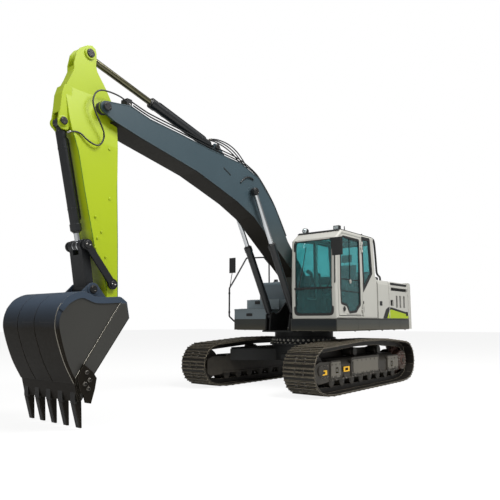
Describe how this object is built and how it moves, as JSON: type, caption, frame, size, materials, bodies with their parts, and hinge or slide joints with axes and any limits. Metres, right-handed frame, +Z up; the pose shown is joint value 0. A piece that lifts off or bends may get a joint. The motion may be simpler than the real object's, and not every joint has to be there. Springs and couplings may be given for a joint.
{
  "type": "crawler excavator",
  "caption": "Crawler excavator with a cab, a one-piece boom, an arm and a toothed digging bucket on a swinging upper body.",
  "frame": {"origin": "on the ground directly below the swing centre", "axes": "+X forward along the boom and the tracks, +Y to the operator's left, +Z up"},
  "size_m": [8.873, 3.06, 5.004],
  "materials": {
    "track_steel": "worn",
    "undercarriage_paint": "satin",
    "dark_paint": "satin",
    "pale_paint": "gloss",
    "grey_paint": "satin",
    "cast_iron": "rough",
    "black_steel": "satin",
    "black_plastic": "matt",
    "lamp": "clear",
    "seat_cloth": "woven",
    "cab_glass": "tinted",
    "boom_paint": "gloss",
    "arm_paint": "gloss",
    "bucket_paint": "worn",
    "barrel_paint": "satin",
    "chrome_rod": "polished",
    "pin_steel": "machined"
  },
  "bodies": {
    "undercarriage": {"lower_frame": "undercarriage_paint", "tow_bracket": "undercarriage_paint", "slew_ring": "undercarriage_paint", "track_left": "track_steel", "track_frame_left": "undercarriage_paint", "rollers_left": "undercarriage_paint", "idler_left": "undercarriage_paint", "sprocket_left": "undercarriage_paint", "track_right": "track_steel", "track_frame_right": "undercarriage_paint", "rollers_right": "undercarriage_paint", "idler_right": "undercarriage_paint", "sprocket_right": "undercarriage_paint"},
    "upperstructure": {"main_frame": "dark_paint", "skirt_left": "dark_paint", "skirt_right": "dark_paint", "counterweight": "pale_paint", "engine_housing": "pale_paint", "engine_block": "cast_iron", "exhaust_pipe": "black_steel", "hydraulic_tank": "grey_paint", "fuel_tank": "grey_paint", "tool_box": "pale_paint", "handrail_right": "black_steel", "mirrors": "black_plastic", "cab_shell": "pale_paint", "cab_glass": "cab_glass", "roof_hatch": "black_plastic", "seat": "seat_cloth", "seat_base": "black_plastic", "cab_lamps": "lamp"},
    "cab_door": {"cab_door": "pale_paint", "door_glass": "cab_glass"},
    "side_door_front": {"side_door_front": "pale_paint"},
    "side_door_rear": {"side_door_rear": "pale_paint"},
    "pump_door": {"pump_door": "pale_paint"},
    "engine_hood": {"engine_hood": "dark_paint"},
    "tool_box_lid": {"tool_box_lid": "pale_paint"},
    "boom": {"boom": "boom_paint", "boom_pipes": "black_steel"},
    "boom_cylinder_barrels": {"boom_cylinder_barrel": "barrel_paint"},
    "boom_cylinder_rods": {"boom_cylinder_rod": "chrome_rod"},
    "arm_cylinder_barrel": {"arm_cylinder_barrel": "barrel_paint"},
    "arm_cylinder_rod": {"arm_cylinder_rod": "chrome_rod"},
    "arm": {"arm": "arm_paint", "arm_pivot_pin": "pin_steel"},
    "bucket_cylinder_barrel": {"bucket_cylinder_barrel": "barrel_paint"},
    "bucket_cylinder_rod": {"bucket_cylinder_rod": "chrome_rod"},
    "idler_links": {"idler_links": "bucket_paint"},
    "bucket": {"bucket": "bucket_paint"},
    "power_link": {"power_link": "bucket_paint"}
  },
  "joints": [
    {"name": "swing", "type": "hinge", "parent": "undercarriage", "child": "upperstructure", "pos_m": [0, 0, 0.93], "axis": [0, 0, 1], "continuous": true},
    {"name": "boom_lift", "type": "hinge", "parent": "upperstructure", "child": "boom", "pos_m": [0.05, 0, 1.79], "axis": [0, -1, 0], "range_deg": [-58, 36]},
    {"name": "boom_cylinder_swing", "type": "hinge", "parent": "upperstructure", "child": "boom_cylinder_barrels", "pos_m": [0.78, 0, 1.35], "axis": [0, -1, 0], "range_deg": [-64, 40]},
    {"name": "boom_cylinder_stroke", "type": "slide", "parent": "boom_cylinder_barrels", "child": "boom_cylinder_rods", "axis": [0.489, 0, 0.8723], "range_m": [-0.78, 0.5]},
    {"name": "arm_crowd", "type": "hinge", "parent": "boom", "child": "arm", "pos_m": [5.235, 0, 4.146], "axis": [0, 1, 0], "range_deg": [-75, 30]},
    {"name": "arm_cylinder_swing", "type": "hinge", "parent": "boom", "child": "arm_cylinder_barrel", "pos_m": [2.86, 0, 4.23], "axis": [0, -1, 0], "range_deg": [-6, 6]},
    {"name": "arm_cylinder_stroke", "type": "slide", "parent": "arm_cylinder_barrel", "child": "arm_cylinder_rod", "axis": [0.9701, 0, 0.2425], "range_m": [-0.93, 0.38]},
    {"name": "bucket_curl", "type": "hinge", "parent": "arm", "child": "bucket", "pos_m": [5, 0, 1.29], "axis": [0, 1, 0], "range_deg": [-3, 150]},
    {"name": "idler_link_swing", "type": "hinge", "parent": "arm", "child": "idler_links", "pos_m": [5.015, 0, 1.74], "axis": [0, 1, 0], "range_deg": [-3, 115]},
    {"name": "power_link_swing", "type": "hinge", "parent": "bucket", "child": "power_link", "pos_m": [5.32, 0, 1.66], "axis": [0, -1, 0], "range_deg": [-3, 120]},
    {"name": "bucket_cylinder_swing", "type": "hinge", "parent": "arm", "child": "bucket_cylinder_barrel", "pos_m": [5.8, 0, 3.8], "axis": [0, -1, 0], "range_deg": [-2, 10]},
    {"name": "bucket_cylinder_stroke", "type": "slide", "parent": "bucket_cylinder_barrel", "child": "bucket_cylinder_rod", "axis": [-0.2294, 0, -0.9733], "range_m": [-0.03, 1.06]},
    {"name": "cab_door_hinge", "type": "hinge", "parent": "upperstructure", "child": "cab_door", "pos_m": [-0.004, 1.362, 2], "axis": [0, 0, 1], "range_deg": [0, 160]},
    {"name": "side_door_front_hinge", "type": "hinge", "parent": "upperstructure", "child": "side_door_front", "pos_m": [-1.247, 1.351, 1.7], "axis": [0, 0, 1], "range_deg": [0, 100]},
    {"name": "side_door_rear_hinge", "type": "hinge", "parent": "upperstructure", "child": "side_door_rear", "pos_m": [-2.28, 1.351, 1.7], "axis": [0, 0, 1], "range_deg": [0, 100]},
    {"name": "pump_door_hinge", "type": "hinge", "parent": "upperstructure", "child": "pump_door", "pos_m": [-2.28, -1.351, 1.7], "axis": [0, 0, -1], "range_deg": [0, 100]},
    {"name": "engine_hood_hinge", "type": "hinge", "parent": "upperstructure", "child": "engine_hood", "pos_m": [-1.358, 0, 2.112], "axis": [0, 1, 0], "range_deg": [0, 70]},
    {"name": "tool_box_lid_hinge", "type": "hinge", "parent": "upperstructure", "child": "tool_box_lid", "pos_m": [0.224, -1, 1.523], "axis": [0, -1, 0], "range_deg": [0, 85]}
  ],
  "couplings": [
    {"joint": "boom_cylinder_swing", "follows": "boom_lift", "ratio": 1.053},
    {"joint": "boom_cylinder_stroke", "follows": "boom_lift", "m_per_rad": 0.738},
    {"joint": "arm_cylinder_swing", "follows": "arm_crowd", "ratio": -0.0425},
    {"joint": "arm_cylinder_stroke", "follows": "arm_crowd", "m_per_rad": 0.684},
    {"joint": "idler_link_swing", "follows": "bucket_curl", "ratio": 0.752},
    {"joint": "power_link_swing", "follows": "bucket_curl", "ratio": 0.787},
    {"joint": "bucket_cylinder_swing", "follows": "bucket_curl", "ratio": 0.054},
    {"joint": "bucket_cylinder_stroke", "follows": "bucket_curl", "m_per_rad": 0.3986}
  ]
}
